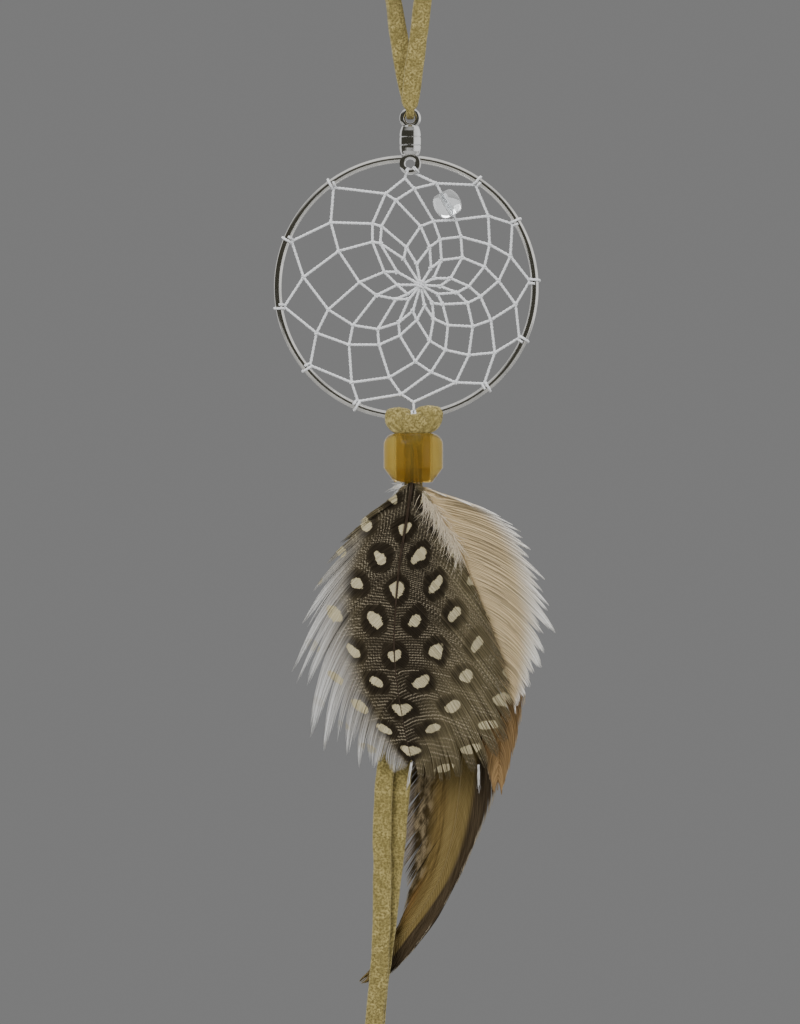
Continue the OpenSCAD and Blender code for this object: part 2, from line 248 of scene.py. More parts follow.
def suede_look():
    """Olive-tan nap, mottled, a little paler along the cut edges. The map is in millimetres."""
    look = Look("suede")
    lace = look.map("Lace")
    cloud = look.noise(lace, 0.5, 3)
    mottle = look.noise(lace, 2.2, 4, 0.65)
    nap = look.noise(look.stretch(lace, 9, 5), 1.0, 3, 0.7)
    base = look.mix(look.smooth(cloud, 0.3, 0.7), (0.26, 0.21, 0.068), (0.47, 0.385, 0.145))
    spots = look.mix(look.smooth(mottle, 0.36, 0.66), (0.14, 0.108, 0.030), base)
    grain = look.mix(look.smooth(nap, 0.5, 0.8) * 0.6, spots, (0.68, 0.60, 0.30))
    edge = look.smooth(look.mark("edge"), 0.86, 1.0)
    colour = look.mix(edge * 0.15, grain, (0.62, 0.55, 0.32))
    return look.surface(colour, 0.93, look.bump(mottle * 0.6 + nap * 0.7, 0.16 * MM),
                        Sheen_Weight=0.10, Sheen_Roughness=0.6, Specular_IOR_Level=0.1)


def metal_look(name, tint, roughness):
    """Polished plating with faint handling marks."""
    look = Look(name)
    place = look.place()
    smear = look.noise(place, 350, 3)
    fine = look.noise(look.stretch(place, 1, 1, 6), 2600, 2)
    dull = look.smooth(smear, 0.45, 0.8) * 0.12 + roughness
    colour = look.mix(look.smooth(smear, 0.3, 0.75), tint, (0.66, 0.65, 0.62))
    return look.surface(colour, dull, look.bump(fine, 0.001 * MM), Metallic=1.0)


def thread_look():
    """White waxed thread: its two plies are in the mesh, and fine fibres run along them."""
    look = Look("thread")
    run = look.map("Thread")
    fibre = look.noise(look.stretch(run, 14, 1.5), 1.0, 2)
    cloud = look.noise(run, 0.35, 2)
    colour = look.mix(look.smooth(fibre, 0.3, 0.7), (0.60, 0.61, 0.63), (0.86, 0.87, 0.88))
    worn = look.mix(look.smooth(cloud, 0.5, 0.8) * 0.35, colour, (0.62, 0.60, 0.55))
    return look.surface(worn, 0.55, look.bump(fibre, 0.03 * MM), Sheen_Weight=0.2)


def clear_glass_look():
    """Clear pressed glass, with a few drawn lines around the bore."""
    look = Look("clear_glass")
    wave = look.noise(look.stretch(look.place(), 1, 1, 0.2), 900, 2)
    return look.surface((0.96, 0.98, 0.99), 0.03, look.bump(wave, 0.02 * MM),
                        Transmission_Weight=1.0, IOR=1.5, Coat_Weight=0.3)


def amber_glass_look():
    """Cloudy honey glass with soft streaks along its height, greener in its clouds."""
    look = Look("amber_glass")
    place = look.place()
    streak = look.noise(look.stretch(place, 1, 1, 0.12), 430, 3)
    cloud = look.noise(place, 170, 3)
    warm = look.mix(look.smooth(streak, 0.35, 0.68), (0.44, 0.29, 0.055), (0.55, 0.40, 0.095))
    colour = look.mix(look.smooth(cloud, 0.45, 0.7) * 0.5, warm, (0.42, 0.34, 0.09))
    return look.surface(colour, 0.16, look.bump(streak, 0.03 * MM), Transmission_Weight=0.82,
                        IOR=1.12)


def quill_look(name, dark, light, beyond=None):
    """Horn, with a fine grain along it, and another tint beyond the quill if it has one."""
    look = Look(name)
    grain = look.noise(look.stretch(look.map("Barb"), 5, 0.6), 1.0, 3)
    colour = look.mix(look.smooth(grain, 0.3, 0.7), dark, light)
    if beyond:
        past_quill = look.smooth(look.split(look.map("Vane"))[1], 0.10, 0.20)
        colour = look.mix(past_quill, colour, beyond)
    return look.surface(colour, 0.38, look.bump(grain, 0.03 * MM), Specular_IOR_Level=0.25,
                        Subsurface_Weight=0.08, Subsurface_Radius=(0.4 * MM, 0.3 * MM, 0.2 * MM))


DOWN_SHADE = 0.78


def down_look(name, tint):
    """Soft pale fluff."""
    look = Look(name)
    tone = look.hashed(look.split(look.map("Barb"))[0])
    shade = look.mix(tone, [DOWN_SHADE * part for part in tint], tint)
    return look.surface(shade, 0.8, Sheen_Weight=0.5, Sheen_Roughness=0.5)


class VaneLook(Look):
    """A vane's material. `side` says how far out from the shaft a place is, less than 0 on the
    left, `reach` how far along the shaft its barb grows, and `tone` differs between barbs."""

    def __init__(self, name):
        super().__init__(name)
        barb = self.map("Barb")
        self.across, self.along, _ = self.split(barb)
        self.side, self.reach, _ = self.split(self.map("Vane"))
        self.width = abs(self.side)
        streak = self.noise(self.stretch(barb, 1.7, 0.16), 1.0, 3)
        self.tone = self.hashed(self.across) * 0.55 + streak * 0.45

    def barbs(self, colour, roughness, gloss, height=0.08 * MM, strength=0.6, **others):
        """Sets the shader, with a ridge along each barb."""
        ridge = self.bump(self.math("PINGPONG", self.across, 0.5), height, strength)
        return self.surface(colour, roughness, ridge, Specular_IOR_Level=gloss, **others)


SPOT_GAP = 3.8
ROW_GAP = 10.5
SPOT_LONG = 1.50
SPOT_WIDE = 0.98
DISC_R = 2.6
DOT_GAP = 0.80


def guinea_look():
    """Dark vane with staggered pale spots that lie across the barbs, each in a dark disc, and
    rows of fine dots between the discs. It turns olive at the edges, and white low on the left.
    The Spots map has one whole step for each column of spots and for each row. Sizes are in
    millimetres."""
    look = VaneLook("guinea_vane")
    tone, width = look.tone, look.width
    spots = look.map("Spots")
    drift = look.noise(spots, 1.3, 1)
    column, row, _ = look.split(spots)
    row = row + (drift - 0.5) * 0.22

    def from_spot(chosen):
        """How far outward and upward the nearest spot of a column is, in all, and its number."""
        level = row + look.math("PINGPONG", chosen, 1.0) * 0.5
        outward = (column - chosen) * look.math("SIGN", column) * SPOT_GAP
        upward = (look.math("FRACT", level + 0.5) - 0.5) * -ROW_GAP
        away = look.math("SQRT", outward * outward + upward * upward)
        return outward, upward, away, look.math("ROUND", level)

    nearest = look.math("ROUND", column)
    outward, upward, away, number = from_spot(nearest)
    next_away = from_spot(nearest + look.math("SIGN", column - nearest))[2]
    size = look.hashed(nearest * 17.0 + number) * 0.28 + 0.86
    long_part = (outward * 0.80 + upward * 0.60) / (size * SPOT_LONG)
    wide_part = (outward * 0.60 - upward * 0.80) / (size * SPOT_WIDE)
    ragged = (look.hashed(look.across) - 0.5) * 0.24
    ring = look.math("SQRT", long_part * long_part + wide_part * wide_part) + ragged
    away = look.math("MINIMUM", away, next_away) + ragged * 1.4

    dark = look.mix(tone, (0.010, 0.007, 0.004), (0.024, 0.018, 0.011))
    olive = look.mix(tone, (0.075, 0.060, 0.031), (0.195, 0.160, 0.090))
    grey = look.mix(tone, (0.16, 0.145, 0.12), (0.50, 0.48, 0.45))
    white = look.mix(tone, (0.55, 0.54, 0.52), (0.85, 0.85, 0.84))
    cream = look.mix(tone, (0.36, 0.31, 0.18), (0.54, 0.48, 0.32))
    ground = look.mix(look.smooth(width, 0.18, 0.72) * 0.83 + 0.07, dark, olive)
    place = (look.along * (1.0 / DOT_GAP) + look.math("FLOOR", look.across) * 0.5
             + look.hashed(look.across) * 0.25)
    from_dot = abs(look.math("FRACT", place) - 0.5)
    between = look.smooth(away, DISC_R - 0.2, DISC_R + 0.2)
    dots = look.smooth(from_dot, 0.22, 0.08) * between * (look.hashed(place) * 0.55 + 0.15)
    ground = look.mix(dots, ground, (0.36, 0.31, 0.22))
    disc = look.smooth(away, DISC_R + 0.3, DISC_R - 0.9) * look.smooth(width, 0.80, 0.35)
    ground = look.mix(disc * 0.85, ground, dark)
    bleach = look.math("LESS_THAN", look.side, 0.0) * look.smooth(look.reach, 0.03, 0.16)
    ground = look.mix(bleach * look.smooth(width, 0.34, 0.62), ground, grey)
    ground = look.mix(bleach * look.smooth(width, 0.54, 0.86), ground, white)
    kept = bleach * look.smooth(width, 0.60, 0.80) * -0.85 + 1.0
    colour = look.mix(look.smooth(ring, 1.08, 0.92) * kept, ground, cream)
    return look.barbs(colour, 0.6, gloss=0.2)


def cream_look():
    """Cream along the shaft, white at the tips."""
    look = VaneLook("cream_vane")
    warm = look.mix(look.tone, (0.47, 0.355, 0.195), (0.56, 0.44, 0.26))
    white = look.mix(look.tone, (0.66, 0.63, 0.57), (0.88, 0.87, 0.84))
    colour = look.mix(look.smooth(look.width, 0.50, 0.88), warm, white)
    return look.barbs(colour, 0.7, gloss=0.2, height=0.05 * MM, strength=0.4, Sheen_Weight=0.1)


def tan_look():
    """Orange-tan with darker streaks and a pale rim."""
    look = VaneLook("tan_vane")
    body = look.mix(look.tone, (0.13, 0.075, 0.027), (0.34, 0.22, 0.10))
    rim = look.mix(look.tone, (0.42, 0.30, 0.16), (0.66, 0.56, 0.40))
    return look.barbs(look.mix(look.smooth(look.width, 0.86, 0.99), body, rim), 0.5, gloss=0.3)


def brown_look():
    """A beige band along the shaft, dark slate-brown on the outer side with a pale rim, and on
    the inner side golden brown, rust near the tip and mottled grey-brown above."""
    look = VaneLook("brown_vane")
    reach, width = look.reach, look.width
    run = look.map("Spots")
    off = look.split(run)[0]
    streak = look.noise(look.stretch(run, 2.2, 0.10), 1.0, 4, 0.6)
    tone = look.tone * 0.45 + look.smooth(streak, 0.3, 0.7) * 0.55
    blotch = look.noise(look.stretch(run, 0.55, 0.22), 1.0, 4, 0.65)

    beige = look.mix(tone, (0.13, 0.092, 0.030), (0.20, 0.148, 0.058))
    slate = look.mix(tone, (0.018, 0.012, 0.006), (0.080, 0.058, 0.034))
    gold = look.mix(tone, (0.050, 0.033, 0.010), (0.19, 0.130, 0.046))
    rust = look.mix(tone, (0.10, 0.035, 0.006), (0.25, 0.11, 0.024))
    grey = look.mix(look.smooth(blotch, 0.42, 0.60), (0.035, 0.024, 0.010), (0.20, 0.155, 0.090))
    band = off / (look.smooth(reach, 0.95, 0.35) * 2.4 + 1.0)
    outer = look.mix(look.smooth(band, 0.75, 1.15), beige, slate)
    inner = look.mix(look.smooth(band, -0.55, -1.0), beige, gold)
    far = look.mix(look.smooth(reach, 0.66, 0.74), grey, rust)
    inner = look.mix(look.smooth(band, -1.3, -2.1), inner, far)
    colour = look.mix(look.smooth(off, -0.1, 0.1), inner, outer)
    colour = look.mix(look.smooth(width, 0.90, 0.965) * 0.8, colour, (0.44, 0.38, 0.28))
    pale = look.smooth(reach, 0.40, 0.46) * look.smooth(reach, 0.60, 0.54)
    pale = pale * look.smooth(width, 0.74, 0.90) * look.smooth(off, 0.0, -1.0)
    colour = look.mix(pale * 0.75, colour, (0.55, 0.47, 0.40))
    return look.barbs(colour, 0.5, gloss=0.15, height=0.05 * MM, strength=0.5)


# ---- Shapes ----


def unit(rows):
    return rows / np.linalg.norm(rows, axis=-1, keepdims=True)


def smoothstep(value, start, end):
    t = np.clip((value - start) / (end - start), 0, 1)
    return t * t * (3 - 2 * t)


def run_of(path):
    """How far along the path each point is."""
    return np.concatenate([[0], np.cumsum(np.linalg.norm(np.diff(path, axis=0), axis=1))])


def curve(points, step):
    """A smooth line through the points, as rows about `step` apart. Columns past x, y and z,
    such as a width, are carried along."""
    p = np.array(points, float)
    padded = np.vstack([2 * p[0] - p[1], p, 2 * p[-1] - p[-2]])
    rows = []
    for a, b, c, d in zip(padded, padded[1:], padded[2:], padded[3:]):
        count = max(4, int(4 * np.linalg.norm((c - b)[:3]) / step))
        t = np.linspace(0, 1, count, endpoint=False)[:, None]
        rows.append(0.5 * (2 * b + (c - a) * t + (2 * a - 5 * b + 4 * c - d) * t**2
                           + (3 * b - a - 3 * c + d) * t**3))
    dense = np.vstack(rows + [p[-1:]])
    at = run_of(dense[:, :3])
    even = np.linspace(0, at[-1], max(3, round(at[-1] / step) + 1))
    return np.column_stack([np.interp(even, at, column) for column in dense.T])


def ring_stack(path, side, through, section):
    """Rings of points: a section's (side, through) offsets laid across each point of a path."""
    return (path[..., None, :] + section[..., :1] * side[..., None, :]
            + section[..., 1:] * through[..., None, :])


def free_frames(path, first):
    """Side and through directions along a path that turn no more than they must."""
    heading = unit(np.gradient(path, axis=0))
    side = np.empty_like(path)
    last = np.array(first, float)
    for i, ahead in enumerate(heading):
        last = last - (last @ ahead) * ahead
        last = last / np.linalg.norm(last)
        side[i] = last
    return side, np.cross(heading, side)


class Shape:
    """Collects tubes and turned forms, then makes one mesh of them."""

    def __init__(self):
        self.points, self.faces, self.slots, self.marks, self.count = [], [], [], {}, 0

    def tubes(self, rings, slot=0, loop=False, **marks):
        """Adds tubes. rings is (tubes, rings, points round, 3), and each mark gives a value, or a
        pair for a UV map, for each point. A looped tube closes on itself and has no caps."""
        tubes, stack, around = rings.shape[:3]
        index = np.arange(tubes * stack * around).reshape(tubes, stack, around) + self.count
        ahead = np.roll(index, -1, 1) if loop else index[:, 1:]
        here = index if loop else index[:, :-1]
        quads = np.stack([here, np.roll(here, -1, 2), np.roll(ahead, -1, 2), ahead], -1)
        faces = quads.reshape(-1, 4).tolist()
        if not loop:
            faces += index[:, 0, ::-1].tolist() + index[:, -1].tolist()
        self.faces += faces
        self.slots += [slot] * len(faces)
        self.points.append(rings.reshape(-1, 3))
        self.count += tubes * stack * around
        for name, values in marks.items():
            pair = np.ndim(values) > 3 and np.shape(values)[-1] == 2
            shape = (tubes, stack, around) + ((2,) if pair else ())
            flat = np.broadcast_to(values, shape).reshape((-1, 2) if pair else (-1,))
            self.marks.setdefault(name, []).append(flat)

    def finish(self, name, *materials):
        """Makes the mesh, with its faces outward, its marks and its materials."""
        mesh = bpy.data.meshes.new(name)
        mesh.from_pydata(np.concatenate(self.points).tolist(), [], self.faces)
        mesh.polygons.foreach_set("material_index", self.slots)
        form = bmesh.new()
        form.from_mesh(mesh)
        bmesh.ops.recalc_face_normals(form, faces=form.faces)
        if form.calc_volume(signed=True) < 0:
            bmesh.ops.reverse_faces(form, faces=form.faces)
        form.to_mesh(mesh)
        form.free()
        mesh.polygons.foreach_set("use_smooth", [True] * len(mesh.polygons))
        corners = np.zeros(len(mesh.loops), np.int32)
        mesh.loops.foreach_get("vertex_index", corners)
        for label, parts in self.marks.items():
            values = np.concatenate(parts).astype(np.float32)
            if values.ndim == 2:
                layer = mesh.uv_layers.new(name=label)
                layer.data.foreach_set("uv", values[corners].ravel())
            else:
                attribute = mesh.attributes.new(label, "FLOAT", "POINT")
                attribute.data.foreach_set("value", values)
        for material in materials:
            mesh.materials.append(material)
        return add_object(name, mesh)


def make_piece(shape, name, material, body, node):
    """Makes a piece on its body, in place of its CAD node."""
    piece = shape.finish(name, material)
    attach(piece, body)
    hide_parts(node)
    return piece


# ---- Suede lace ----

LACE_WIDE = 0.0035
LACE_THICK = 0.0012
LACE_STEP = 0.6 * MM
FOLD_SQUEEZE = 0.14
LACE_AROUND = 28
ARCH_R = 0.008
ARCH_Z = LACE_THICK / 2 - ARCH_R

# Routes of the suede lace, in metres: x, y, z, the lace's width there, and its twist in degrees,
# or just x, y and z where it's flat and as wide as usual. The legs are folded narrow only where
# they pass through the swivel's eye
BACK_LEG = [
    (0, 0, -0.06735, 0.0015, 0), (0, 0.00095, -0.06695, 0.0015, 0),
    (0, 0.00135, -0.066, 0.0015, 0), (0, 0.00125, -0.0648, 0.003, 0),
    (-0.0002, 0.00085, -0.0625, 0.0035, 0), (-0.0011, 0.0007, -0.0585, 0.0035, 0),
    (-0.002, 0.0007, -0.053, 0.0035, 10), (-0.0029, 0.0007, -0.047, 0.0035, 30),
    (-0.0039, 0.0006, -0.04, 0.0035, 50), (-0.005, 0.0004, -0.032, 0.0035, 75),
    (-0.0059, 0.0002, -0.0255, 0.0035, 90),
]
FRONT_LEG = [
    (0, 0, -0.06735, 0.0015, 0), (0, -0.00095, -0.06695, 0.0015, 0),
    (0, -0.00135, -0.066, 0.0015, 0), (0, -0.00125, -0.0648, 0.003, 0),
    (0.0002, -0.00085, -0.0625, 0.0035, 0), (0.0007, -0.0007, -0.0585, 0.0035, 0),
    (0.0014, -0.0007, -0.053, 0.0035, 0), (0.0022, -0.0007, -0.047, 0.0035, 10),
    (0.003, -0.0006, -0.04, 0.0035, 30), (0.0044, -0.0004, -0.03, 0.0035, 60),
    (0.0059, -0.0002, -0.02, 0.0035, 85), (0.0073, 0, -0.012, 0.0035, 90),
]
ARCH = [(ARCH_R * math.cos(a), 0, ARCH_Z + ARCH_R * math.sin(a), 0.0035, 90)
        for a in np.radians(range(0, 181, 30))]
ARCH_END = [
    (-0.0077, 0, -0.011, 0.0035, 90), (-0.0071, 0, -0.015, 0.0035, 90),
    (-0.0067, 0, -0.0185, 0.0035, 90),
]
FRONT_TAIL = [
    (0.0006, 0.0002, -0.1279), (0.0006, 0.0002, -0.137), (0.0004, 0.0002, -0.146),
    (-0.0006, 0.0003, -0.156), (-0.0021, 0.0003, -0.168), (-0.0037, 0.0002, -0.182),
    (-0.005, 0, -0.195), (-0.0054, -0.0002, -0.205), (-0.0054, -0.0003, -0.215),
    (-0.0056, -0.0003, -0.225), (-0.0062, -0.0003, -0.234), (-0.007, -0.0003, -0.242),
    (-0.0078, -0.0003, -0.251), (-0.0086, -0.0003, -0.26),
]
BACK_TAIL = [
    (0.0006, 0.0015, -0.1279), (0.0006, 0.0015, -0.137), (0.0009, 0.0015, -0.148),
    (0.0006, 0.0015, -0.16), (-0.0002, 0.0015, -0.175), (-0.0011, 0.0015, -0.188),
    (-0.0019, 0.0014, -0.198), (-0.0028, 0.0013, -0.208), (-0.0038, 0.0012, -0.217),
    (-0.0049, 0.0011, -0.226), (-0.0059, 0.0011, -0.234), (-0.0067, 0.0011, -0.242),
    (-0.0073, 0.0011, -0.25), (-0.0077, 0.0011, -0.256),
]


def wander(run, rng, wavelength):
    """A smooth random wave along a run, from about -1 to 1."""
    return sum(np.sin(2 * math.pi * run / (wavelength * stretch) + rng.uniform(0, 7))
               for stretch in (1, 1.7, 3.1)) / 2


def add_lace(shape, path, side, width, seed, thick=LACE_THICK, crown=0.0):
    """Adds a flat lace along a path, soft at its edges and a little uneven. A crown droops its
    edges by that much, to the side that `through` points away from."""
    rng = np.random.default_rng(seed)
    heading = unit(np.gradient(path, axis=0))
    side = unit(side - np.sum(side * heading, axis=1, keepdims=True) * heading)
    through = np.cross(heading, side)
    run = run_of(path)
    turn = np.linspace(0, 2 * math.pi, LACE_AROUND, endpoint=False)
    flat = np.sign(np.cos(turn)) * np.abs(np.cos(turn)) ** 0.35
    deep = np.sign(np.sin(turn)) * np.abs(np.sin(turn)) ** 0.6
    half = width / 2 * (1 + 0.025 * wander(run, rng, 9 * MM))
    across = half[:, None] * flat
    across += 0.05 * MM * wander(run, rng, 6 * MM)[:, None] * np.abs(flat) ** 4
    plump = thick / 2 * (1 + 0.06 * wander(run, rng, 5 * MM))
    depth = plump[:, None] * deep
    ends = np.minimum(run, run[-1] - run)[:, None]
    soft = 0.8 + 0.2 * smoothstep(ends, 0, 0.5 * MM)
    rough = rng.normal(0, 0.012 * MM, across.shape)
    droop = np.reshape(crown, (-1, 1)) * np.abs(flat) ** 2.2
    section = np.stack([across * soft + rough, depth * soft + rough[::-1] - droop], -1)
    rings = ring_stack(path, side, through, section)
    lengthwise = np.broadcast_to(run[:, None], across.shape)
    shape.tubes(rings[None], Lace=np.stack([across, lengthwise], -1)[None] / MM,
                edge=np.abs(flat)[None, None])


def add_route(shape, route, seed):
    """Adds a lace along a route's rows and returns its centre line. Where it is folded narrow,
    in the swivel's eye, it's pressed a little thinner."""
    rows = curve([(*row, LACE_WIDE, 0)[:5] for row in route], LACE_STEP)
    thick = LACE_THICK * (1 - FOLD_SQUEEZE * smoothstep(rows[:, 3], 3.0 * MM, 1.6 * MM))
    twist = np.radians(rows[:, 4])
    side = np.column_stack([np.cos(twist), np.sin(twist), np.zeros(len(rows))])
    add_lace(shape, rows[:, :3], side, rows[:, 3], seed, thick)
    return rows[:, :3]


def make_cord(name, node, body, route, seed):
    """One free length of lace."""
    shape = Shape()
    path = add_route(shape, route, seed)
    piece = make_piece(shape, name, SUEDE, body, node)


KNOT_AT = np.array([-6.3, 0, -22]) * MM
KNOT_LEAN = math.radians(7)
KNOT_AXIS = np.array([-math.sin(KNOT_LEAN), 0, math.cos(KNOT_LEAN)])
KNOT_RIGHT = np.array([math.cos(KNOT_LEAN), 0, math.sin(KNOT_LEAN)])
FRONT_TO_BACK = np.array([0, 1.0, 0])
KNOT_LACE_WIDE = 3.1 * MM
KNOT_LACE_THICK = 1.3 * MM
KNOT_END_WIDE = 3.4 * MM
KNOT_CORE_THICK = 3.2 * MM
KNOT_CORE_STEPS = 24

# Sizes and places in the knot's own axes, in millimetres
KNOT_TURNS = 1.35
KNOT_RISE = 4.2
KNOT_INSIDE = 1.1
KNOT_SWELL = 1.35
KNOT_HALF = 3.6
KNOT_CORE_HALF = 3.2
KNOT_CORE_R = 1.9
KNOT_END = np.array([(1.3, 0.5, -1.5), (2.1, 0.9, -4.5), (2.2, 1.0, -9), (2.6, 1.2, -14)])


def in_knot(x, y, z):
    """Places in the knot's own leaning axes, given in millimetres."""
    x, y, z = (np.asarray(v, float)[..., None] * MM for v in (x, y, z))
    return KNOT_AT + x * KNOT_RIGHT + y * FRONT_TO_BACK + z * KNOT_AXIS


def make_knot():
    """The overhand knot that joins the lace's ends: two turns of lace round the two legs, and
    the cut ends hanging on either side of the leg below."""
    shape = Shape()
    t = np.linspace(0, 1, 90)
    for start in (0, math.pi):
        angle = start + 2 * math.pi * KNOT_TURNS * t
        radius = KNOT_INSIDE + KNOT_SWELL * np.sin(math.pi * t) ** 0.45
        path = in_knot(radius * np.cos(angle), radius * np.sin(angle),
                       KNOT_RISE / 2 - KNOT_RISE * t)
        outward = in_knot(np.cos(angle), np.sin(angle), 0 * t) - KNOT_AT
        side = np.cross(unit(np.gradient(path, axis=0)), outward)
        add_lace(shape, path, side, np.full(len(path), KNOT_LACE_WIDE), seed=41 + int(start),
                 thick=KNOT_LACE_THICK)
    heights = np.linspace(-KNOT_CORE_HALF, KNOT_CORE_HALF, KNOT_CORE_STEPS)
    core = in_knot(0 * heights, 0 * heights, heights)
    belly = KNOT_CORE_R * np.sqrt(1 - (heights / KNOT_HALF) ** 2) * MM
    add_lace(shape, core, np.tile(FRONT_TO_BACK, (KNOT_CORE_STEPS, 1)), 2 * belly, seed=43,
             thick=KNOT_CORE_THICK)
    for turn in (-1, 1):
        path = in_knot(*curve(KNOT_END * (turn, turn, 1), LACE_STEP / MM).T)
        add_lace(shape, path, np.tile(FRONT_TO_BACK, (len(path), 1)),
                 np.full(len(path), KNOT_END_WIDE), seed=45 + turn)
    return make_piece(shape, "knot", SUEDE, "hanger", "hanger_knot")


HOOP_CENTRE = np.array([-0.75, 0, -100]) * MM
HOOP_R = 24.7 * MM
WIRE_R = 0.7 * MM
HITCH_AWAY = 0.53
HITCH_WIDE = 5.3
HITCH_DROOP = 0.75


def make_hitch():
    """The lark's head: the lace comes up behind the hoop, over the wire, down the front, across
    as a bar, up again, over the wire and down behind. Rows are x, y, z, the lace's width and
    its droop in millimetres, and how far its side is turned, in degrees."""
    wrap = WIRE_R / MM + HITCH_AWAY

    def over_wire(x, angles, turn):
        wire_z = (HOOP_CENTRE[2] - math.sqrt(HOOP_R**2 - (x * MM - HOOP_CENTRE[0]) ** 2)) / MM
        return [(x, wrap * math.cos(a), wire_z + wrap * math.sin(a), HITCH_WIDE, HITCH_DROOP,
                 turn) for a in np.radians(angles)]

    rows = [(0.3, 0.9, -129.6, 3.4, 0, 0), (-0.3, 1.1, -128.2, 3.5, 0, 0),
            (-1.4, 1.5, -126.6, 4.0, 0.2, 0), (-2.2, 1.5, -125.5, 4.8, 0.5, 0)]
    rows += over_wire(-2.2, (10, 50, 90, 130, 170), 0)
    rows += [(-2.15, -1.5, -125.4, 5.2, 0.5, 0), (-1.7, -1.75, -126.0, 4.6, 0.3, 36),
             (-0.7, -1.9, -126.2, 4.0, 0.25, 70), (0.6, -1.95, -126.2, 3.8, 0.25, 90),
             (1.9, -1.9, -126.15, 4.0, 0.25, 110), (3.0, -1.75, -125.9, 4.6, 0.3, 144),
             (3.5, -1.5, -125.2, 5.2, 0.5, 180)]
    rows += over_wire(3.6, (170, 130, 90, 50, 10), 180)
    rows += [(3.3, 1.5, -125.3, 4.8, 0.5, 180), (2.5, 1.8, -126.5, 4.0, 0.2, 180),
             (1.5, 2.0, -128.2, 3.5, 0, 180), (0.9, 2.0, -129.6, 3.4, 0, 180)]
    line = curve(rows, 0.3)
    turn = np.radians(line[:, 5])
    side = np.column_stack([np.cos(turn), 0 * turn, np.sin(turn)])
    shape = Shape()
    add_lace(shape, line[:, :3] * MM, side, line[:, 3] * MM, seed=31, thick=1.0 * MM,
             crown=line[:, 4] * MM)
    return make_piece(shape, "hitch", SUEDE, "drop", "lace_hitch")


# ---- Web ----

THREAD_R = 0.24 * MM
THREAD_AROUND = 8
PLY_PITCH = 1.5 * MM
PLY_DEPTH = 0.17
STRAND_STEP = 0.24 * MM
STRAND_BOW = 0.12
KNOT_WAVER = 0.15
EYE_CENTRE = np.array([0, 0, -76.25]) * MM
EYE_WIRE = 1.6 * MM
EYE_OUTSIDE = 2.2 * MM
EYE_ANGLES = (202, 135)
EYE_TURN_R = 1.18 * MM
EYE_TURN_FLAT = 0.60
ANCHOR_ANGLES = [34, 59, 87, 114, 141, 176.4, 203, 231, 261, 292, 324]
HITCH_ANCHOR = 5
HITCH_ANCHOR_IN = 2.65 * MM
WEB_PERIOD = 13
WEB_ROUNDS = [
    [(5.75, 20), (15.75, 13.75), (20, 6), (21, -3.25), (17, -12.5), (9.5, -18.25), (-1, -20.5),
     (-10.5, -18.25), (-17.25, -8.75), (-19.75, 2), (-14.5, 12.5), (-4, 18), (1.5, 19)],
    [(9.5, 13), (16, 8.25), (17.75, 1.25), (16.25, -6.25), (12, -13), (4.75, -16.25),
     (-3.25, -17.25), (-11, -11), (-15, -4.25), (-13, 7), (-6.5, 12.25), (-2, 16.75),
     (5.25, 12.75)],
    [(10.5, 9.75), (15, 4), (14.25, -1.75), (12.75, -7.5), (7.5, -12), (1.75, -14.25),
     (-5.25, -11), (-10.25, -7.25), (-9, 1), (-6.5, 8.75), (-4.75, 11.75), (2.75, 11.75),
     (6.5, 9.25)],
    [(10.75, 5.75), (12, 0.25), (11.75, -3), (8, -7.25), (4.5, -10.25), (-1.25, -9.25),
     (-5.5, -8), (-5.75, -1.5), (-4.25, 3), (-5, 8.5), (0, 7.75), (4.5, 7.75), (6.75, 5.25)],
    [(8.5, 1.75), (9.75, -1), (7, -3.25), (5.25, -6), (2, -6.25), (-1.5, -6.75), (-2, -2.25),
     (-1.75, 0.5), (-1.75, 3), (-0.5, 5.5), (2, 4.5), (4.75, 3.75), (5.25, 1.75)],
    [(6.5, 0.25), (6, -1.25), (5, -3), (3.5, -3.5), (1.25, -4.5), (0.5, -2.25), (0.25, -1.25)],
]
EYE_KNOTS = [(0.9, 22.3), (-0.25, 21)]
WEB_CENTRE = (2.75, 0.5)
BEAD_UP = 3.45 * MM
QUARTER = math.radians(90)


def on_web(place, y=0.0):
    """A place given in millimetres from the hoop's centre, in its plane."""
    return HOOP_CENTRE + np.array([place[0], y, place[1]]) * MM


def out_and_along(degrees):
    """The directions out of the hoop and along its wire, at degrees clockwise from its top."""
    angle = math.radians(degrees)
    return (np.array([math.sin(angle), 0, math.cos(angle)]),
            np.array([math.cos(angle), 0, -math.sin(angle)]))


def on_hoop(degrees, radius):
    return HOOP_CENTRE + radius * out_and_along(degrees)[0]


def add_thread(shape, path, radius=THREAD_R, first=(0, 1, 0)):
    """Adds a two-ply thread along a path."""
    side, through = free_frames(path, first)
    run = run_of(path)[:, None]
    around = np.linspace(0, 2 * math.pi, THREAD_AROUND, endpoint=False)
    plies = np.cos(2 * (around[None] - 2 * math.pi * run / PLY_PITCH))
    swell = radius * (1 + PLY_DEPTH * plies)
    section = np.stack([swell * np.cos(around), swell * np.sin(around)], -1)
    place = np.stack(np.broadcast_arrays(around / (2 * math.pi), run / MM), -1)
    shape.tubes(ring_stack(path, side, through, section)[None], Thread=place[None])


def add_strand(shape, a, b, rng):
    """Adds a straight strand, with a slight bow out of the hoop's plane."""
    count = max(4, int(np.linalg.norm(b - a) / STRAND_STEP))
    t = np.linspace(0, 1, count)[:, None]
    bow = rng.uniform(-STRAND_BOW, STRAND_BOW) * MM * np.sin(math.pi * t)
    add_thread(shape, a + (b - a) * t + bow * FRONT_TO_BACK)


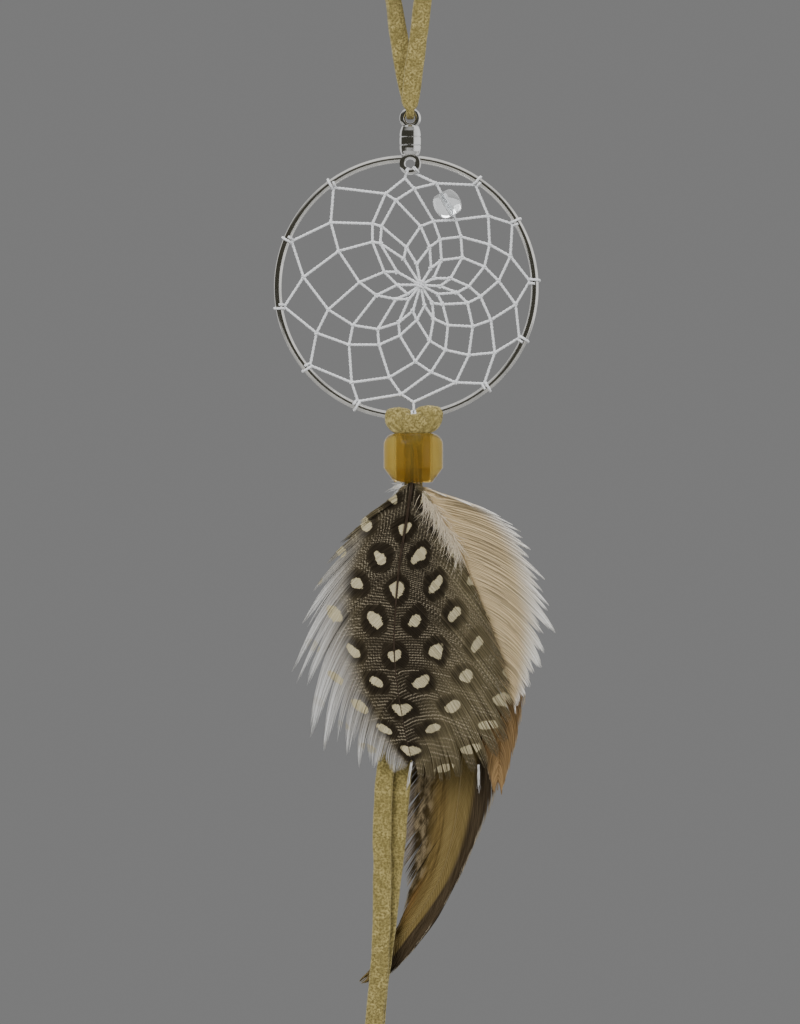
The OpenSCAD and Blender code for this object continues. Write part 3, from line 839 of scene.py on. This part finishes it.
def add_coil(shape, centre, axis, radius, turns, length, phase, thread=THREAD_R * 0.9, flat=1.0):
    """Adds a coil of thread round an axis: a turn round the wire, or a knot round a strand. Its
    size in the hoop's plane is `flat` of its size from front to back."""
    axis = unit(np.array(axis, float))
    right = unit(np.cross(axis, FRONT_TO_BACK))
    up = np.cross(right, axis)
    t = np.linspace(0, 1, max(8, int(turns * 18)))[:, None]
    angle = phase + 2 * math.pi * turns * t
    ring = flat * right * np.cos(angle) + up * np.sin(angle)
    path = centre + axis * length * (t - 0.5) + radius * ring
    add_thread(shape, path, thread, first=axis)


def make_web():
    """One thread, woven from the hoop to the middle: each knot past the anchors is hitched round
    the strand one round further out."""
    rng = np.random.default_rng(5)
    shape = Shape()
    inside = HOOP_R - WIRE_R - THREAD_R
    anchors = [on_hoop(a, inside) for a in ANCHOR_ANGLES]
    anchors[HITCH_ANCHOR] = on_hoop(ANCHOR_ANGLES[HITCH_ANCHOR], HOOP_R - HITCH_ANCHOR_IN)
    knots = [on_web(EYE_KNOTS[0])] + anchors + [on_web(EYE_KNOTS[1])]
    knots += [on_web(k, rng.uniform(-KNOT_WAVER, KNOT_WAVER)) for ring in WEB_ROUNDS
              for k in ring]
    centre = on_web(WEB_CENTRE)
    for k in range(WEB_PERIOD, len(knots)):
        outer = (knots[k - WEB_PERIOD], knots[k - WEB_PERIOD + 1])
        for end in outer:
            add_strand(shape, end, knots[k], rng)
        add_coil(shape, knots[k], outer[1] - outer[0], 0.27 * MM, turns=1.3, length=0.6 * MM,
                 phase=rng.uniform(0, 6), thread=THREAD_R * 0.75)
    for end in knots[-WEB_PERIOD:]:
        add_strand(shape, end, centre, rng)
    add_coil(shape, centre, (0.3, 0.2, 1), 0.62 * MM, turns=3.2, length=1.6 * MM, phase=0)
    add_coil(shape, centre, (1, -0.1, 0.2), 0.5 * MM, turns=2.2, length=1.1 * MM, phase=2)
    for degrees in ANCHOR_ANGLES:
        add_coil(shape, on_hoop(degrees, HOOP_R), out_and_along(degrees)[1], WIRE_R + THREAD_R,
                 turns=1.5, length=1.1 * MM, phase=QUARTER, thread=THREAD_R)
    add_strand(shape, on_hoop(ANCHOR_ANGLES[HITCH_ANCHOR], inside), anchors[HITCH_ANCHOR], rng)
    for degrees, knot in zip(EYE_ANGLES, EYE_KNOTS[::-1]):
        out, along = out_and_along(degrees)
        add_coil(shape, EYE_CENTRE + EYE_WIRE * out, along, EYE_TURN_R, turns=1.5,
                 length=0.5 * MM, phase=QUARTER, thread=THREAD_R * 0.65, flat=EYE_TURN_FLAT)
        add_strand(shape, EYE_CENTRE + EYE_OUTSIDE * out, on_web(knot), rng)
    make_piece(shape, "web", THREAD, "hoop", "web_thread")


# ---- Beads ----


def turned(shape, profile, centre, axis, count=96):
    """Adds a closed profile of (radius, height) rows turned round an axis."""
    axis = unit(np.array(axis, float))
    right = unit(np.cross(FRONT_TO_BACK, axis))
    front = np.cross(axis, right)
    profile = np.array(profile)
    angle = np.linspace(0, 2 * math.pi, count, endpoint=False)[:, None, None]
    outward = right * np.cos(angle) + front * np.sin(angle)
    rings = centre + profile[:, :1] * outward + profile[:, 1:] * axis
    shape.tubes(rings[None], loop=True)


def arc(centre_r, centre_h, radius, start, end, count):
    """Rows of a profile along an arc, in millimetres, with the angles in degrees."""
    angles = np.radians(np.linspace(start, end, count))
    return [((centre_r + radius * math.cos(a)) * MM, (centre_h + radius * math.sin(a)) * MM)
            for a in angles]


def make_web_bead():
    """The clear glass bead on the web: a barrel with rounded lips at its bore."""
    top, foot = on_web(WEB_ROUNDS[0][0]), on_web(WEB_ROUNDS[1][0])
    axis = unit(top - foot)
    half, end_r, belly = 2.4, 1.3, 1.3
    lip_r, lip = 0.75, 0.2
    profile = [((end_r + belly * math.cos(a)) * MM, half * math.sin(a) * MM)
               for a in np.radians(np.linspace(-84, 84, 29))]
    profile += arc(lip_r, half - lip, lip, 90, 180, 5)
    profile += arc(lip_r, lip - half, lip, 180, 270, 5)
    shape = Shape()
    turned(shape, profile, foot + BEAD_UP * axis, axis)
    make_piece(shape, "glass_bead", CLEAR_GLASS, "web_bead", "web_bead")


def make_amber_bead():
    """The large bead: round shoulders above, straight sides, and a broad chamfer below."""
    low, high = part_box("amber_bead")
    centre = np.array((low + high) / 2)
    half, outer, hole = 4.7, 5.7, 3.3
    shoulder, corner, foot, lip = 2.3, 0.8, 0.5, 0.4
    chamfer_in, chamfer_up = 2.3, 3.0
    profile = arc(outer - shoulder, half - shoulder, shoulder, 84, 0, 15)
    profile += arc(outer - corner, chamfer_up - half, corner, 0, -45, 6)
    profile += arc(outer - chamfer_in, foot - half, foot, -45, -90, 5)
    profile += arc(hole + lip, lip - half, lip, -90, -180, 6)
    profile += arc(hole + lip, half - lip, lip, 180, 96, 6)
    shape = Shape()
    turned(shape, profile, centre, (0, 0, 1), count=128)
    make_piece(shape, "bead", AMBER_GLASS, "amber_bead", "amber_bead")


# ---- Feathers ----

FINE = 0.3 * MM
BARB_POINTS = 20
BARB_TILT = math.radians(16)
BARB_WIDTH = (0.12 * MM, 0.62 * MM)
FAN = (0, 0.2, 0.4, 0.6, 0.8, 1)


def upright(points, y):
    """Rows of (x, z) in millimetres as places in metres at a depth."""
    points = np.array(points, float) * MM
    return np.column_stack([points[:, 0], np.full(len(points), y), points[:, 1]])


def at_share(path, share):
    """The places, and the directions there, at shares of a path's length."""
    run = run_of(path)
    heading = unit(np.gradient(path, axis=0))
    goal = np.asarray(share) * run[-1]
    place, ahead = (np.stack([np.interp(goal, run, column) for column in rows.T], -1)
                    for rows in (path, heading))
    return place, unit(ahead)


class Feather:
    """One feather in the making. Its shaft and outlines are (x, z) in millimetres, at a depth."""

    def __init__(self, shaft, depth, bend, seed):
        self.path = curve(upright(shaft, depth), FINE)
        self.depth = depth
        self.bend = bend
        self.rng = np.random.default_rng(seed)
        self.shape = Shape()
        self.barb_count = 0
        self.spot_map = None

    def bent(self, points, share):
        """Bows the flat vane along its length."""
        points = points.copy()
        points[..., 1] += self.bend * 4 * share * (1 - share)
        return points

    def marks(self, places, across, along, side, reach):
        """The UV maps for an array of places."""
        shape = places.shape[:-1]
        across, along, side, reach = (np.broadcast_to(value, shape)
                                      for value in (across, along, side, reach))
        spots = np.zeros(shape + (2,)) if self.spot_map is None else self.spot_map(places)
        return {"Barb": np.stack([across, along], -1), "Vane": np.stack([side, reach], -1),
                "Spots": spots}

    def shaft(self, thick, thin, head):
        """Adds the quill and shaft, which taper from thick to thin. head is the quill's top."""
        top = np.array([[head[0] * MM, self.depth + head[1] * MM, head[2] * MM]])
        path = curve(np.vstack([top, self.path[::12], self.path[-1:]]), FINE)
        run = run_of(path)
        share = run / run[-1]
        path = self.bent(path, share)
        side, through = free_frames(path, (1, 0, 0))
        around = np.linspace(0, 2 * math.pi, 10, endpoint=False)
        radius = (thick + (thin - thick) * share**0.7) * MM
        radius *= 0.55 + 0.45 * smoothstep(run, 0, 1.2 * MM)
        section = radius[:, None, None] * np.stack([np.cos(around), 0.85 * np.sin(around)], -1)
        rings = ring_stack(path, side, through, section)[None]
        marks = self.marks(rings, around / 2, run[:, None] / MM, 0, share[:, None])
        self.shape.tubes(rings, slot=1, **marks)

    def vane(self, outline, count, roots, tips, gather, lean, clump, fray, ragged, lift=0.4,
             thick=0.13, gather_from=0.6, stray=0.03, fine=0.0):
        """Adds one side's barbs, from the shaft to the outline. At each of FAN's shares of the
        barbs, `roots` and `tips` say how far along the shaft and the outline a barb starts and
        ends, and `gather`, there or everywhere, how far its clump draws to a point. Barbs leave
        at `lean` degrees. A few end short by up to `stray`, and past the middle they thin by
        `fine`."""
        rng = self.rng
        rim = curve(upright(outline, self.depth), FINE)
        order = (np.arange(count) + 0.5) / count
        share = np.interp(order, FAN, roots)[:, None]
        root, ahead = at_share(self.path, share[:, 0])
        tip, _ = at_share(rim, np.interp(order, FAN, tips))
        out = np.stack([-ahead[:, 2], 0 * order, ahead[:, 0]], -1)
        hand = np.sign(np.sum((tip - root) * out))
        length = np.linalg.norm(tip - root, axis=1, keepdims=True)
        angle = math.radians(lean)
        elbow = root + 0.45 * length * (math.cos(angle) * ahead + hand * math.sin(angle) * out)
        sizes = rng.integers(max(2, clump // 2), clump * 3 // 2 + 1, count)
        group = np.repeat(np.arange(count), sizes)[:count]
        middle = np.array([np.flatnonzero(group == g).mean() for g in group])
        spread = np.array([max(1, (group == g).sum() / 2) for g in group])
        off = np.abs(np.arange(count) - middle) / spread
        reach = 1 - ragged * rng.random(count)[group]
        reach *= 1 - fray * off**1.4 - stray * rng.random(count)**3
        f = np.linspace(0, 1, BARB_POINTS) * reach[:, None]
        g = f[..., None]
        places = ((1 - g)**2 * root[:, None] + 2 * g * (1 - g) * elbow[:, None]
                  + g**2 * tip[:, None])
        beyond = 2 * places[-1:] - places[-2:-1]
        gap = np.linalg.norm(np.diff(places, axis=0, append=beyond), axis=-1)
        leader = places[np.clip(np.round(middle).astype(int), 0, count - 1)]
        gather = np.interp(order, FAN, np.broadcast_to(gather, len(FAN)))
        pull = gather[:, None] * smoothstep(f, gather_from, 1.05)
        places = places + pull[..., None] * (leader - places)
        wave = rng.normal(0, 1, count)[group][:, None] + 0.35 * rng.normal(0, 1, count)[:, None]
        places[..., 1] += MM * lift * f**1.6 * (wave * 0.5 - 0.4)
        places[..., 1] += 0.03 * MM * (np.arange(count)[:, None] % 2)
        places[..., 0] += 0.08 * MM * f**2 * rng.normal(0, 1, count)[:, None]
        places = self.bent(places, share)
        heading = unit(np.gradient(places, axis=1))
        flat = unit(np.cross(heading, FRONT_TO_BACK))
        side = math.cos(BARB_TILT) * flat + math.sin(BARB_TILT) * FRONT_TO_BACK
        through = np.cross(heading, side)
        taper = np.linspace(0, 1, BARB_POINTS)
        width = np.clip(1.3 * gap, *BARB_WIDTH) * (1 - 0.9 * taper**4)
        width *= 1 - fine * smoothstep(taper, 0.5, 0.85)
        deep = thick * MM * (1 - 0.8 * taper**3) * np.ones((count, 1))
        corner = np.array([(1, 0), (0, 1), (-1, 0), (0, -1)])
        section = corner * np.stack([width / 2, deep / 2], -1)[:, :, None]
        rings = ring_stack(places, side, through, section)
        number = self.barb_count + np.arange(count)[:, None, None] + 0.5 + 0.45 * corner[:, 0]
        along = f[..., None] * length[:, None] / MM
        sign = np.sign(np.mean(tip[:, 0] - root[:, 0]))
        marks = self.marks(rings, number, along, sign * f[..., None], share[..., None])
        self.shape.tubes(rings, **marks)
        self.barb_count += count

    def wisps(self, roots, toward, spread, long, thick=0.05, forward=0.0, curl=1.0):
        """Adds soft loose barbs from their roots, about a direction in degrees, with lengths and
        thicknesses in millimetres."""
        rng = self.rng
        count = len(roots)
        angle = np.radians(toward + spread * rng.normal(0, 1, count))
        aim = np.stack([np.cos(angle), rng.normal(0, 0.08, count), np.sin(angle)], -1)
        length = rng.uniform(long[0], long[1], (count, 1)) * MM
        bow = curl * np.stack([rng.normal(0, 0.2, count), rng.normal(0, 0.08, count),
                               -0.2 + rng.normal(0, 0.15, count)], -1)
        f = np.linspace(0, 1, 12)[None, :, None]
        places = roots[:, None] + f * length[:, None] * aim[:, None]
        places += f**2 * (length * bow)[:, None]
        phase = f * rng.uniform(6, 12, (count, 1, 1))
        places += 0.06 * MM * np.sin(phase) * rng.normal(0, 1, (count, 1, 3))
        places[..., 1] -= forward * MM * smoothstep(f[..., 0], 0, 0.5)
        heading = unit(np.gradient(places, axis=1))
        side = unit(np.cross(heading, FRONT_TO_BACK + 0.01))
        through = np.cross(heading, side)
        radius = thick * MM * (1 - 0.85 * f[0, :, 0]**1.5)
        turn = np.radians([90, 210, 330])
        section = radius[None, :, None, None] * np.stack([np.cos(turn), np.sin(turn)], -1)
        rings = ring_stack(places, side, through, section)
        number = self.barb_count + np.arange(count)[:, None, None] + 0.5
        self.shape.tubes(rings, slot=2, **self.marks(rings, number, 5.0 * f[0], 1.0, 0.1))
        self.barb_count += count

    def along_shaft(self, count, start, end):
        """Random places on the bent shaft between two shares of its length."""
        share = self.rng.uniform(start, end, count)
        return self.bent(at_share(self.path, share)[0], share)

    def around(self, x, z, spread, count):
        """Random places about a point in the front view, given in millimetres."""
        shift = self.rng.normal(0, spread, (count, 2)) * MM
        return np.column_stack([x * MM + shift[:, 0], np.full(count, self.depth),
                                z * MM + shift[:, 1]])

    def finish(self, kind, *materials):
        """Makes the piece in the scene's frame, in place of the CAD nodes of its quill and vane.
        """
        feather, quill, vane = kind + "_feather", kind + "_quill", kind + "_vane"
        piece = self.shape.finish(feather, *materials)
        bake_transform(piece)
        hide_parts(quill, vane)


def shaft_map(path):
    """Maps a place to its distance right of the shaft and its height, in millimetres."""
    heights = path[::-1, 2] / MM
    centres = path[::-1, 0] / MM

    def places(points):
        x, z = points[..., 0] / MM, points[..., 2] / MM
        return np.stack([x - np.interp(z, heights, centres), z], -1)

    return places


def spot_map(path):
    """The guinea feather's lattice: columns of spots beside the shaft, which fan out on the right
    towards the tip, and rows that close up towards the tip."""
    flat = shaft_map(path)

    def places(points):
        off, z = np.moveaxis(flat(points), -1, 0)
        right_step = np.interp(-z, [148, 170, 184, 192], [3.4, 4.0, 5.4, 6.4])
        column = np.where(off > 0, off / right_step, off / 3.9)
        row = np.interp(-z, [138, 158.2, 171.1, 181.3, 189.1, 198], [-1.7, 0, 1, 2, 3, 4.3])
        return np.stack([column, row + 0.05 * np.abs(column)], -1)

    return places


def make_guinea():
    """The spotted feather in front, with long white fringes low on its left."""
    shaft = [(0.3, -137.4), (-0.6, -144), (-1.9, -152), (-2.7, -160), (-3.1, -169), (-2.4, -177),
             (-1.2, -184), (0.2, -190.5)]
    feather = Feather(shaft, depth=-2.6 * MM, bend=-0.5 * MM, seed=11)
    feather.spot_map = spot_map(feather.path)
    feather.shaft(0.36, 0.10, head=(0.35, 0.6, -130.2))
    left = [(-1.6, -137.6), (-3.0, -139.4), (-5.6, -141.6), (-10.8, -145.6), (-17.4, -153.6),
            (-21.3, -164), (-22.8, -176.4), (-18.8, -187.5), (-13.5, -193.2), (-9.5, -195.4),
            (-5, -195.2), (-1.2, -193.5)]
    right = [(2.4, -137.6), (3.6, -139.8), (5.2, -143.2), (7.0, -147.6), (10.2, -152.6),
             (13.0, -158.6), (16.6, -167), (20, -178), (19.6, -186), (15.5, -192), (9.5, -195),
             (4.5, -195.4), (1, -193.5)]
    feather.vane(left, 320, roots=(0, 0.05, 0.14, 0.33, 0.64, 1), clump=19, lean=52,
                 tips=(0, 0.27, 0.50, 0.71, 0.87, 1), gather=(0.1, 0.1, 0.7, 0.85, 0.85, 0.3),
                 fray=0.20, ragged=0.17, gather_from=0.55, lift=0.7, stray=0.12, fine=0.4)
    feather.vane(right, 290, roots=(0, 0.06, 0.18, 0.38, 0.66, 1), clump=12, lean=54,
                 tips=(0, 0.27, 0.49, 0.70, 0.87, 1), gather=(0, 0, 0.1, 0.3, 0.6, 0.3),
                 fray=0.04, ragged=0.03, gather_from=0.7, lift=0.3)
    feather.wisps(feather.around(-1.6, -138.0, 0.3, 26), toward=200, spread=28, long=(1.2, 2.8))
    feather.wisps(feather.around(0.3, -191.2, 0.10, 12), toward=-99, spread=1, long=(3.0, 5.4),
                  thick=0.08, curl=0.15)
    feather.wisps(feather.around(13.0, -191.6, 0.08, 10), toward=-88, spread=1, long=(3.0, 5.6),
                  thick=0.07, curl=0.15)
    feather.finish("guinea", GUINEA, DARK_QUILL, WHITE_DOWN)


def make_cream():
    """The soft cream feather on the right, in pointed white tufts, its fluff over the guinea."""
    shaft = [(1.7, -138.3), (4.4, -142), (8.6, -149), (12.2, -157.5), (15.5, -168),
             (18.4, -178.5)]
    feather = Feather(shaft, depth=-1.8 * MM, bend=-0.2 * MM, seed=23)
    feather.shaft(0.30, 0.06, head=(1.0, 0.3, -130.8))
    left = [(1.4, -139), (3.6, -146), (6.2, -151.5), (9.4, -156.5), (11.8, -162), (13.8, -168),
            (16.3, -176), (19.3, -182)]
    right = [(3.0, -137.7), (5.6, -139.6), (9.8, -141.5), (18.8, -144.6), (23.8, -149.8),
             (26.8, -156.4), (28.0, -163), (27.4, -170.5), (25.2, -176.3), (22.6, -180.2),
             (20, -182.5)]
    feather.vane(right, 330, roots=(0, 0.05, 0.14, 0.32, 0.60, 1), clump=14, lean=52,
                 tips=(0.03, 0.25, 0.46, 0.65, 0.84, 1),
                 gather=(0.5, 0.75, 0.75, 0.75, 0.75, 0.6), fray=0.14, ragged=0.15,
                 gather_from=0.66, lift=0.5, thick=0.11, stray=0.15)
    feather.vane(left, 200, roots=(0, 0.12, 0.30, 0.50, 0.72, 0.98), clump=10, lean=30,
                 tips=(0.05, 0.25, 0.45, 0.65, 0.84, 1), gather=0.3, fray=0.10, ragged=0.12,
                 thick=0.11)
    feather.wisps(feather.along_shaft(200, 0.04, 0.34), toward=-96, spread=14, long=(1.5, 4.4),
                  forward=1.7)
    feather.wisps(feather.along_shaft(160, 0.0, 0.30), toward=-60, spread=22, long=(1.5, 4.5),
                  forward=1.5)
    feather.finish("cream", CREAM, PALE_QUILL, CREAM_DOWN)


def make_tan():
    """The narrow tan feather behind, seen as a strip past the guinea's right edge."""
    shaft = [(0.9, -138.3), (6.0, -146), (11.4, -157), (15.6, -169), (17.4, -181), (16.8, -196.5)]
    feather = Feather(shaft, depth=-1.0 * MM, bend=0.4 * MM, seed=37)
    feather.shaft(0.32, 0.06, head=(0.6, 0.2, -130.6))
    left = [(0.6, -139), (3.5, -150), (7.6, -162), (11, -175), (13.4, -188), (16.2, -197.8)]
    right = [(1.6, -138.6), (10.5, -145), (18, -154), (22.2, -165), (22.6, -175), (20.8, -186),
             (17.2, -198)]
    for outline in (left, right):
        feather.vane(outline, 200, roots=(0, 0.13, 0.30, 0.49, 0.70, 0.97), clump=16, lean=36,
                     tips=(0.04, 0.29, 0.50, 0.69, 0.86, 1),
                     gather=(0.2, 0.2, 0.2, 0.2, 0.3, 0.3), fray=0.03, ragged=0.03,
                     gather_from=0.7, lift=0.2)
    feather.finish("tan", TAN, TAN_QUILL)


def make_brown():
    """The long brown feather behind the laces, which curves to the left at its tip."""
    shaft = [(0.9, -138.3), (2.9, -145), (6.5, -157), (9.2, -170), (10.3, -183), (9.6, -195),
             (8.2, -205), (5.9, -213), (2.4, -219.4), (-1.3, -224.6), (-5.2, -229.8),
             (-9.4, -233.6)]
    feather = Feather(shaft, depth=2.7 * MM, bend=0.0, seed=51)
    feather.spot_map = shaft_map(feather.path)
    feather.shaft(0.40, 0.08, head=(0.8, -0.3, -130.4))
    left = [(0.2, -139), (-1, -150), (-2, -165), (-2.6, -180), (-2.8, -195), (-2.4, -205),
            (-1.9, -211.5), (-1.0, -215), (-1.1, -219), (-2.6, -223.4), (-5.6, -228.6),
            (-9.9, -233.8)]
    right = [(1.6, -138.8), (9, -148), (15.5, -162), (20, -177), (20.2, -187), (17, -196.6),
             (13, -206), (8.8, -214.8), (3.8, -222.8), (-1.2, -229.4), (-5.4, -233.2),
             (-9.9, -234)]
    feather.vane(left, 330, roots=(0, 0.13, 0.31, 0.50, 0.71, 0.98), clump=18, lean=30,
                 tips=(0.03, 0.30, 0.51, 0.69, 0.86, 1), gather=(0.1, 0.1, 0.15, 0.2, 0.2, 0.2),
                 fray=0.02, ragged=0.03, lift=0.3, thick=0.10)
    feather.vane(right, 330, roots=(0, 0.13, 0.31, 0.50, 0.71, 0.98), clump=24, lean=36,
                 tips=(0.03, 0.30, 0.51, 0.69, 0.86, 1), gather=(0, 0, 0.1, 0.1, 0.1, 0.1),
                 fray=0.01, ragged=0.015, gather_from=0.8, lift=0.15, thick=0.10)
    feather.finish("brown", BROWN, BROWN_QUILL)


# ---- The scene ----

SUEDE = suede_look()
SWIVEL_METAL = metal_look("swivel_metal", (0.84, 0.84, 0.83), 0.10)
HOOP_METAL = metal_look("hoop_metal", (0.86, 0.84, 0.80), 0.14)
THREAD = thread_look()
CLEAR_GLASS = clear_glass_look()
AMBER_GLASS = amber_glass_look()
DARK_QUILL = quill_look("dark_quill", (0.018, 0.012, 0.008), (0.05, 0.034, 0.022))
BROWN_QUILL = quill_look("brown_quill", (0.018, 0.012, 0.008), (0.05, 0.034, 0.022),
                         (0.17, 0.125, 0.05))
TAN_QUILL = quill_look("tan_quill", (0.42, 0.31, 0.18), (0.62, 0.50, 0.33),
                       (0.15, 0.08, 0.025))
PALE_QUILL = quill_look("pale_quill", (0.42, 0.31, 0.18), (0.62, 0.50, 0.33))
GUINEA, CREAM, TAN, BROWN = guinea_look(), cream_look(), tan_look(), brown_look()
WHITE_DOWN = down_look("white_down", (0.80, 0.78, 0.74))
CREAM_DOWN = down_look("cream_down", (0.86, 0.74, 0.54))

make_camera()
knot = make_knot()
hitch = make_hitch()
make_cord("back_leg", "hanger_lace_back", "hanger", BACK_LEG, seed=3)
make_cord("front_leg", "hanger_lace_front", "hanger", FRONT_LEG + ARCH + ARCH_END,
          seed=4)
make_cord("front_tail", "lace_tail_front", "drop", FRONT_TAIL, seed=6)
make_cord("back_tail", "lace_tail_back", "drop", BACK_TAIL, seed=7)

for node_name in ("swivel_upper_eye", "swivel_pin", "swivel_collar", "swivel_lower_eye"):
    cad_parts[node_name].data.materials[0] = SWIVEL_METAL
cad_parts["hoop_ring"].data.materials[0] = HOOP_METAL

make_web()
make_web_bead()
make_amber_bead()
make_guinea()
make_cream()
make_tan()
make_brown()

make_world()
make_floor()
area_light("Key", (-0.55, -0.75, 0.35), 0.5, 0.7, 12)
area_light("Fill", (0.8, -0.6, -0.05), 0.35, 0.9, 5)
area_light("Top", (0.1, 0.5, 0.65), 0.6, 0.4, 6)
